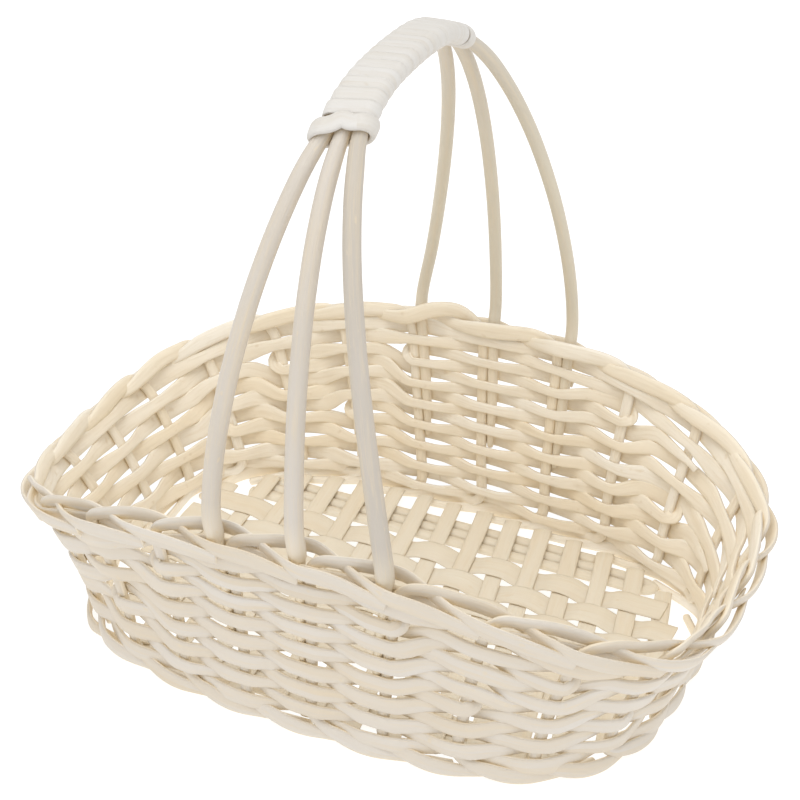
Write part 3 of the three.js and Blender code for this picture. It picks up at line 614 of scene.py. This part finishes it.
def weaver_rows(place, z, out, seed):
    """Stations of a weaver at places, heights and offsets, with the unevenness of real rods."""
    origin, up, normal, _ = wall_frame(place, z)
    room = row_height(place, 1, []) - row_height(place, 0, [])
    swell = Wobble(seed)(place * SLOW_SWELL[0]) * SLOW_SWELL[1]
    swell = swell + Wobble(seed + 1)(place * QUICK_SWELL[0]) * QUICK_SWELL[1]
    lift = Wobble(seed + 2)(place * STRAND_STRAY[0]) * STRAND_STRAY[1]
    shares = [packed(row, place) for row in all_rows]
    fading = sum(4 * share * (1 - share) for share in shares)
    more = WEAVER_OUTER_MORE * out / weaver_out + WEAVER_FADE_MORE * np.minimum(fading, 1)
    half_side = (room / 2 + WEAVER_OVERLAP + more) * (1 + swell)
    half_out = WEAVER_HALF_OUT * (1 + swell)
    run = np.concatenate([[0], np.cumsum(np.abs(np.diff(place)))])
    tip = 1 - TIP_PARING * (1 - smoothstep(np.minimum(run, run[-1] - run), 0, TIP_RUN))
    half_out, half_side = half_out * tip, half_side * tip
    points = origin + normal * out[:, None] + up * lift[:, None]
    return np.concatenate([points, normal, half_out[:, None], half_side[:, None]], 1)


# Stations of a weaver in a gap, and the sides and squareness of its section
WEAVE_STEPS = 14
WEAVER_SIDES, WEAVER_SQUARENESS = 16, 4
middle_place = spiral_start + ROUNDS // 2 * stake_count
last_place = spiral_start + ROUNDS * stake_count
# The lower strand's tip is tucked in beside the stake where the upper one starts
TUCKED_TIP, LOOSE_TIP = 0.75, 0.09
# The rounds: node, first and last place, and seed
rounds = [
    ("weaver_lower", spiral_start - LOOSE_TIP, middle_place + TUCKED_TIP, 11),
    ("weaver_upper", middle_place + 1 - LOOSE_TIP, last_place + LOOSE_TIP, 18),
]
for node, start, end, seed in rounds:
    place = np.linspace(start, end, int((end - start) * WEAVE_STEPS) + 1)
    path = weaver_rows(place, full_row_height(place), weave_offset(place, 1) * weaver_out, seed)
    sweep(node + "_strand", node, WEAVER, path, WEAVER_SIDES, WEAVER_SQUARENESS)

# Gaps by which a packing strand's ends pass their stakes, the steps of its turns, and its seeds
PACKING_TAIL, TURN_STEPS = 0.22, 10
PACKING_SEED, LEVEL_SEEDS = 40, 9
for side_name, middle in sides_middle:
    for level, (above, rows) in enumerate(packings):
        places, heights, offsets = [], [], []
        for row, reach in enumerate(rows):
            step = 1 if row % 2 == 0 else -1
            start, end = middle - reach[0], middle + reach[1]
            if step < 0:
                start, end = end, start
            sign = 1 if (above + 1 + row) % 2 == 0 else -1
            low = start - step * (PACKING_TAIL if row == 0 else 0)
            high = end + step * (PACKING_TAIL if row + 1 == len(rows) else 0)
            place = np.linspace(low, high, int(abs(high - low) * WEAVE_STEPS) + 1)
            z = packing_row_height(level, row, place)
            out = weave_offset(place, sign) * weaver_out
            if row > 0:
                place, z, out = place[1:], z[1:], out[1:]
            places.append(place)
            heights.append(z)
            offsets.append(out)
            if row + 1 < len(rows):
                # The turn back round the last stake of the row
                reach_mm = STAKE_HALF[1] + WEAVER_HALF_OUT
                part = np.linspace(0, 1, TURN_STEPS + 1)[1:-1]
                end_z = float(packing_row_height(level, row, end))
                share = float(stake_share(end, end_z, reach_mm))
                turn = end + step * share * np.sin(part * np.pi)
                low_z = packing_row_height(level, row, turn)
                high_z = packing_row_height(level, row + 1, turn)
                side_sign = float(weave_offset([end], sign)[0])
                places.append(turn)
                heights.append(low_z + (high_z - low_z) * part)
                offsets.append(np.cos(part * np.pi) * math.copysign(weaver_out, side_sign))
        node = f"packing_{side_name}_{'lower' if level == 0 else 'upper'}"
        route = [np.concatenate(values) for values in (places, heights, offsets)]
        path = weaver_rows(*route, PACKING_SEED + LEVEL_SEEDS * level + middle)
        sweep(node + "_strand", node, WEAVER, path, WEAVER_SIDES, WEAVER_SQUARENESS)

# The rods are pared for the winding while the sine of their way over the arch goes from one to the other
PARED_SPAN = (0.85, 1)


def rod_radius(share):
    whole = (ROD_BUTT_DIAMETER + (ROD_END_DIAMETER - ROD_BUTT_DIAMETER) * share) / 2
    return whole * (1 - ROD_PARING * float(smoothstep(math.sin(share * math.pi), *PARED_SPAN)))


def bundle_pitch(share):
    return 2 * rod_radius(share) + CLEARANCE


def arch_point(share, at):
    """A point a share of the way over the arch that springs from a place on the rim, and its rise."""
    slope = WALL_FLARE * (RIM_WIDTH - FOOT_WIDTH) / 2 / (RIM_HEIGHT_SIDE - foot_height)
    spring_y = abs(at[1]) + slope * HANDLE_SPRING
    spring_z = at[2] + HANDLE_SPRING
    across = math.cos(share * math.pi)
    y = -spring_y * math.copysign(abs(across) ** (2 / HANDLE_FLATNESS), across)
    rise = math.sin(share * math.pi) ** (2 / HANDLE_LEAN) if 0 < share < 1 else 0.0
    return np.array([at[0], y, spring_z + (HANDLE_TOP - spring_z) * rise]), rise


# Parts of the way over the arch at which a rod has its stations, up to the top and down again
arch_shares = [0, 0.06, 0.13, 0.2, 0.26, 0.31, 0.34, 0.37, 0.4, 0.43, 0.46]
arch_steps = arch_shares + [0.49, 0.51] + [1 - share for share in arch_shares[::-1]]

# A rod's root: its tip in stake radii, how deep it is broad in rim heights, how much farther aside it stands
# there and its half width, and how much it narrows in the border
ROOT_TIP, ROOT_BROAD_DEPTH, ROOT_BROAD_ASIDE, ROOT_BROAD_HALF, ROOT_NARROWING = 0.7, 0.36, 0.6, 2.7, 0.4
# Steps below and above the rim between which a rod leaves the border
ROOT_LEAVES = 0.4


def root_rows(stake, share):
    """Stations of a rod's root beside its stake, from its tip up to where the arch starts."""
    top = float(rim_height(turn_fraction(stake)))
    full = rod_radius(share)
    beside = stake_radius + full + CLEARANCE
    broad_aside = rod_aside + ROOT_BROAD_ASIDE
    roots = [
        [-ROD_ROOT_SHARE * RIM_HEIGHT_SIDE, rod_aside, ROOT_TIP * stake_radius],
        [-ROOT_BROAD_DEPTH * RIM_HEIGHT_SIDE, broad_aside, ROOT_BROAD_HALF],
        [-border_depth + WEAVER_HEIGHT / 2, broad_aside, ROOT_BROAD_HALF],
        [-ROOT_LEAVES * stake_step, beside - ROOT_NARROWING, full - ROOT_NARROWING],
        [ROOT_LEAVES * stake_step, beside, full],
    ]
    rows = []
    for down, aside, half in roots:
        z = top + down
        origin = wall_frame(stake - stake_share(stake, z, aside), z)[0]
        rows.append([*origin, 1, 0, 0, half, half])
    return rows


bundle_x = HANDLE_OFFSET + HANDLE_DRIFT
middle_foot = np.array(root_rows(GAPS_LEFT, 0)[-1][:3])
middle_arch = np.array([[bundle_x, *arch_point(share, middle_foot)[0][1:]] for share in arch_steps])

for order, (rod_name, back, front, bend) in enumerate(rod_stakes):
    front_rows, back_rows = root_rows(front, 0), root_rows(back, 1)
    rows = list(front_rows)
    for i, share in enumerate(arch_steps):
        end = 0 if share < 0.5 else 1
        own, rise = arch_point(share, np.array((front_rows, back_rows)[end][-1][:3]))
        bundled = middle_arch[i].copy()
        bundled[0] = bundle_x + (order - 1) * bundle_pitch(share)
        gather = min(rise / ROD_GATHER, 1) ** bend[end]
        half = rod_radius(share)
        rows.append([*(own + (bundled - own) * gather), 1, 0, 0, half, half])
    rows += back_rows[::-1]
    node = "handle_rod_" + rod_name
    willow_rod = DARKER_ROD if rod_name == "right" else ROD
    sweep(node + "_smooth", node, willow_rod, spline(rows, per_span=8), sides=20)

# The winding: one skein round the three rods, each turn lapping a little over the last
ARCH_FINENESS = 12
smooth_arch = spline(middle_arch, ARCH_FINENESS)
arch_run = np.concatenate([[0], np.cumsum(np.linalg.norm(np.diff(smooth_arch, axis=0), axis=1))])
no_steps = np.zeros(len(arch_steps))
fine_shares = spline(np.stack([arch_steps, no_steps, no_steps], 1), ARCH_FINENESS)[:, 0]


def arch_place(run):
    return np.array([np.interp(run, arch_run, smooth_arch[:, k]) for k in range(3)])


def arch_frame(distance):
    """The handle's middle at a distance from its top, its directions along, across and up, and its share."""
    goal = distance + arch_run[-1] / 2
    along = unit(arch_place(goal + 1) - arch_place(goal - 1))
    across = np.array([1.0, 0, 0])
    share = float(np.interp(goal, arch_run, fine_shares))
    return arch_place(goal), along, across, np.cross(across, along), share


def oval_point(at, turn, spread):
    """A point on a flat oval round the three rods, and its outward direction."""
    origin, _, across, up, share = at
    end = rod_radius(share) + spread
    pitch = bundle_pitch(share)
    arc, flat = math.pi * end, 2 * pitch
    way = (turn - math.floor(turn)) * 2 * (arc + flat)
    half = 1
    if way >= arc + flat:
        half, way = -1, way - (arc + flat)
    if way > flat:
        angle = (way - flat) / end
        ox, oz = -math.sin(angle), math.cos(angle)
        x, z = -pitch + end * ox, end * oz
    else:
        ox, oz = 0.0, 1.0
        x, z = pitch - way, end
    return origin + across * half * x + up * half * z, across * half * ox + up * half * oz


# How far a turn tips over the last one, its half width in pitches, and how far turns lean along the handle
SKEIN_TILT, SKEIN_LAP, SKEIN_LEAN = 0.08, 0.53, 0.3
# Each end of the skein runs on under its collar for a part of a turn
WRAP_TAIL = 0.5


def leaning_oval(distance, turn, spread):
    """A point on a turn that leans along the handle, its outward direction and the handle's own."""
    upright = arch_frame(distance)
    aside = (oval_point(upright, turn, spread)[0] - upright[0]) @ upright[2]
    at = arch_frame(distance + SKEIN_LEAN * aside)
    return (*oval_point(at, turn, spread), at[1])


wrap_pitch = WRAP_LENGTH / WRAP_TURNS
WRAP_STEPS = 48
rows = []
for turn in np.arange(-WRAP_TAIL, WRAP_TURNS + WRAP_TAIL, 1 / WRAP_STEPS):
    distance = WRAP_SHIFT + wrap_pitch * turn - WRAP_LENGTH / 2
    point, normal, along = leaning_oval(distance, turn, 2 * CLEARANCE + WRAP_THICKNESS / 2)
    tilted = unit(normal - SKEIN_TILT * along)
    rows.append([*point, *tilted, WRAP_THICKNESS / 2, wrap_pitch * SKEIN_LAP])
sweep("handle_wrap_skein", "handle_wrap", SKEIN, rows, sides=16, square=5)

# A collar is a thick strap that is tucked up under the winding over the middle rod: its end of the winding,
# half its thickness and width, and how far its middle lies from the rods
collars = [("front", -1, (1.7, 4.1), 2.3), ("back", 1, (1.0, 3.6), 1.4)]
TUCK_DEPTH, TUCK_WIDTH = 2.2, 3.2
COLLAR_STEPS = 96
for end_name, end, half, spread in collars:
    beyond = WRAP_SHIFT + end * ((WRAP_LENGTH + wrap_pitch + COLLAR_HEIGHT) / 2 + 2 * CLEARANCE)
    share = arch_frame(beyond)[4]
    pitch = bundle_pitch(share)
    girth = 2 * (math.pi * (rod_radius(share) + spread) + 2 * pitch)
    rows = []
    for i in range(COLLAR_STEPS):
        turn = i / COLLAR_STEPS
        point, normal, along = leaning_oval(beyond, turn, spread)
        tuck = math.exp(-((turn * girth - pitch) / TUCK_WIDTH) ** 2)
        rows.append([*(point - end * along * TUCK_DEPTH * tuck), *normal, *half])
    node = "handle_collar_" + end_name
    sweep(node + "_strap", node, SKEIN, rows, sides=18, square=2.8, closed=True)

# Floor: slats across like a fan, strips over and under them, and edge rods below
slat_inset, edge_rod_inset, strip_inset = 0.75 * stake_step, 1.5 * stake_step, 2 * stake_step
# Halvings of a line in search of the floor's edge
EDGE_HALVINGS = 24


def floor_edge(x, y, angle, inset):
    """How far a line on the floor runs before it meets the foot of the wall, less an inset."""
    near, far = 0.0, float(FOOT_LENGTH)
    for _ in range(EDGE_HALVINGS):
        way = (near + far) / 2
        to_x, to_y = x + way * math.cos(angle), y + way * math.sin(angle)
        along = abs(to_x * math.cos(FOOT_TURN) + to_y * math.sin(FOOT_TURN)) / (FOOT_LENGTH / 2 - inset)
        across = abs(to_y * math.cos(FOOT_TURN) - to_x * math.sin(FOOT_TURN)) / (FOOT_WIDTH / 2 - inset)
        if along ** FOOT_SQUARENESS + across ** FOOT_SQUARENESS < 1:
            near = way
        else:
            far = way
    return near


def band_edge(x, y, angle, half, inset):
    """The same for a band of some width."""
    sides = [(x - off * math.sin(angle), y + off * math.cos(angle)) for off in (-half, half)]
    return min(floor_edge(*side, angle, inset) for side in sides)


def slat_x(i):
    return SLAT_SHIFT + (i - (SLAT_COUNT - 1) / 2) * slat_pitch


def slat_lean(i):
    return math.radians(SLAT_LEAN[0] + (SLAT_LEAN[1] - SLAT_LEAN[0]) * i / (SLAT_COUNT - 1))


def slat_reach(i, end):
    return band_edge(slat_x(i), 0, slat_lean(i) + end * math.pi / 2, SLAT_WIDTH / 2, slat_inset)


slat_middle = slat_bottom + SLAT_THICKNESS / 2
first_strip = STRIP_SHIFT - (STRIP_COUNT - 1) / 2 * strip_pitch
last_strip = first_strip + (STRIP_COUNT - 1) * strip_pitch


def slat_wave(i, y):
    """How far a slat stands above its middle: down under a strip, up over the next one."""
    inside = smoothstep(y, first_strip - strip_pitch, first_strip)
    inside = inside * (1 - smoothstep(y, last_strip, last_strip + strip_pitch))
    sign = -1 if i % 2 == 0 else 1
    return sign * SLAT_DIP * np.cos(np.pi * (y - first_strip) / strip_pitch) * inside


SLAT_STEPS = 41
# How often a slat bows in a millimetre and how far, and how its width and a strip's line vary; and the seeds
SLAT_BOW, SLAT_UNEVEN, STRIP_DRIFT = (0.012, 1.1), (0.02, 0.07), (0.02, 0.7)
BOW_SEED, UNEVEN_SEED, DRIFT_SEED = 200, 230, 260
for i in range(SLAT_COUNT):
    way = np.linspace(-slat_reach(i, -1), slat_reach(i, 1), SLAT_STEPS)
    bow = Wobble(BOW_SEED + i)(way * SLAT_BOW[0]) * SLAT_BOW[1]
    uneven = Wobble(UNEVEN_SEED + i)(way * SLAT_UNEVEN[0]) * SLAT_UNEVEN[1]
    width = SLAT_WIDTH / 2 * (1 + uneven)
    c, s = math.cos(slat_lean(i)), math.sin(slat_lean(i))
    zero, one = np.zeros_like(way), np.ones_like(way)
    y = way * c + bow * s
    rows = np.stack([slat_x(i) - way * s + bow * c, y, slat_middle + slat_wave(i, y),
                     zero, zero, one, zero + SLAT_SPLIT / 2, width], 1)
    node = f"floor_slat_{i + 1:02d}"
    sweep(node + "_split", node, FLOOR, rows, sides=14, square=2.6)

# Millimetres from a slat's edges at which a strip starts to bend
STRIP_EASE = 1


def strip_rows(y, over_first, seed):
    """Stations of a strip along the floor at y, over and under the slats that reach that far."""
    swing = (SLAT_SPLIT + STRIP_SPLIT) / 2 - SLAT_DIP
    half = STRIP_WIDTH / 2
    start = -band_edge(0, y, math.pi, half, strip_inset)
    end = band_edge(0, y, 0, half, strip_inset)
    stations = []
    for i in range(SLAT_COUNT):
        lean = slat_lean(i)
        at = slat_x(i) - y * math.tan(lean)
        reach = SLAT_WIDTH / 2 / math.cos(lean) + half * math.tan(lean)
        if at - reach < start or at + reach > end:
            continue
        if slat_reach(i, math.copysign(1, y)) * math.cos(lean) < abs(y) + half:
            continue
        z = slat_middle + (swing if (i % 2 == 0) == over_first else -swing)
        stations += [(at - reach + STRIP_EASE, z), (at + reach - STRIP_EASE, z)]
    stations = [(start, stations[0][1])] + stations + [(end, stations[-1][1])]
    drift = Wobble(seed)
    rows = []
    for x, z in stations:
        aside = float(drift(x * STRIP_DRIFT[0])) * STRIP_DRIFT[1]
        rows.append([x, y + aside, z, 0, 0, 1, STRIP_SPLIT / 2, half + STRIP_SPREAD])
    return rows


for i in range(STRIP_COUNT):
    y = STRIP_SHIFT + (i - (STRIP_COUNT - 1) / 2) * strip_pitch
    rows = strip_rows(y, i % 2 == 0, DRIFT_SEED + i)
    node = f"floor_strip_{i + 1}"
    sweep(node + "_split", node, FLOOR, spline(rows, per_span=6), sides=14, square=3.2)


EDGE_ROD_STEPS = 14


def edge_y(row):
    last = FOOT_WIDTH / 2 - EDGE_ROD_INSET + EDGE_ROD_SHIFT
    return last - (EDGE_ROD_PASSES - 1 - row) * EDGE_ROD_WIDE


for side_name, sign in (("front", -1), ("back", 1)):
    half = EDGE_ROD_DIAMETER / 2
    wide = EDGE_ROD_WIDE / 2
    z = slat_bottom - CLEARANCE - half
    rows = []
    for row in range(EDGE_ROD_PASSES):
        y = sign * edge_y(row)
        left, right = (floor_edge(0, y, angle, edge_rod_inset) - 2 * wide for angle in (math.pi, 0))
        run = np.linspace(-left, right, EDGE_ROD_STEPS)
        for x in run if row % 2 == 0 else run[::-1]:
            rows.append([x, y, z, 0, 0, 1, half, wide])
        if row + 1 < EDGE_ROD_PASSES:
            x = right + wide if row % 2 == 0 else -left - wide
            rows.append([x, sign * edge_y(row + 0.5), z, 0, 0, 1, half, wide])
    node = "floor_edge_rod_" + side_name
    sweep(node + "_round", node, FLOOR, spline(rows, per_span=5), sides=10)

# Stage: a pale floor, soft light and the photograph's camera
ground_mesh = bpy.data.meshes.new("ground")
GROUND_HALF = 6
corners = [(x * GROUND_HALF, y * GROUND_HALF, 0) for x, y in ((-1, -1), (1, -1), (1, 1), (-1, 1))]
ground_mesh.from_pydata(corners, [], [(0, 1, 2, 3)])
ground = bpy.data.objects.new("ground", ground_mesh)
bpy.context.scene.collection.objects.link(ground)
pale = bpy.data.materials.new("pale_floor")
pale.use_nodes = True
surface = pale.node_tree.nodes["Principled BSDF"]
surface.inputs["Base Color"].default_value = (0.42, 0.42, 0.42, 1)
surface.inputs["Roughness"].default_value = 0.9
surface.inputs["Emission Color"].default_value = (1, 1, 1, 1)
surface.inputs["Emission Strength"].default_value = 0.74
ground_mesh.materials.append(pale)

LIGHT_TARGET = np.array([0, 0, 0.1])


def area_light(name, place, size, power, colour=(1, 1, 1)):
    data = bpy.data.lights.new(name, "AREA")
    data.size = size
    data.energy = power
    data.color = colour
    lamp = bpy.data.objects.new(name, data)
    bpy.context.scene.collection.objects.link(lamp)
    lamp.location = place
    x, y, z = np.array(place) - LIGHT_TARGET
    lamp.rotation_euler = (math.atan2(math.hypot(x, y), z), 0, math.atan2(x, -y))


area_light("key", (-0.3, -0.9, 1.9), size=1.6, power=8.5, colour=(1, 0.99, 0.97))
area_light("fill", (1.4, -0.5, 1.0), size=1.6, power=2)
area_light("top", (0.1, -0.3, 1.9), size=1.4, power=8)

world = bpy.data.worlds.new("studio")
bpy.context.scene.world = world
world.use_nodes = True
background = world.node_tree.nodes["Background"]
background.inputs["Color"].default_value = (1, 1, 1, 1)
background.inputs["Strength"].default_value = 0.74

# The camera: its sensor in millimetres, and its focal length in pixels of an image of that many pixels
SENSOR, FOCAL_PIXELS, IMAGE_PIXELS = 36, 2213, 800
LOOK_DOWN, LOOK_ROUND = 31.11, 24.05
camera_data = bpy.data.cameras.new("camera")
camera_data.sensor_width = SENSOR
camera_data.lens = SENSOR * FOCAL_PIXELS / IMAGE_PIXELS
camera_data.clip_end = 50
camera = bpy.data.objects.new("camera", camera_data)
camera.location = (0.37518, -0.83445, 0.68071)
camera.rotation_euler = (math.radians(90 - LOOK_DOWN), 0, math.radians(LOOK_ROUND))
bpy.context.scene.collection.objects.link(camera)
bpy.context.scene.camera = camera
bpy.context.scene.view_settings.view_transform = "Standard"
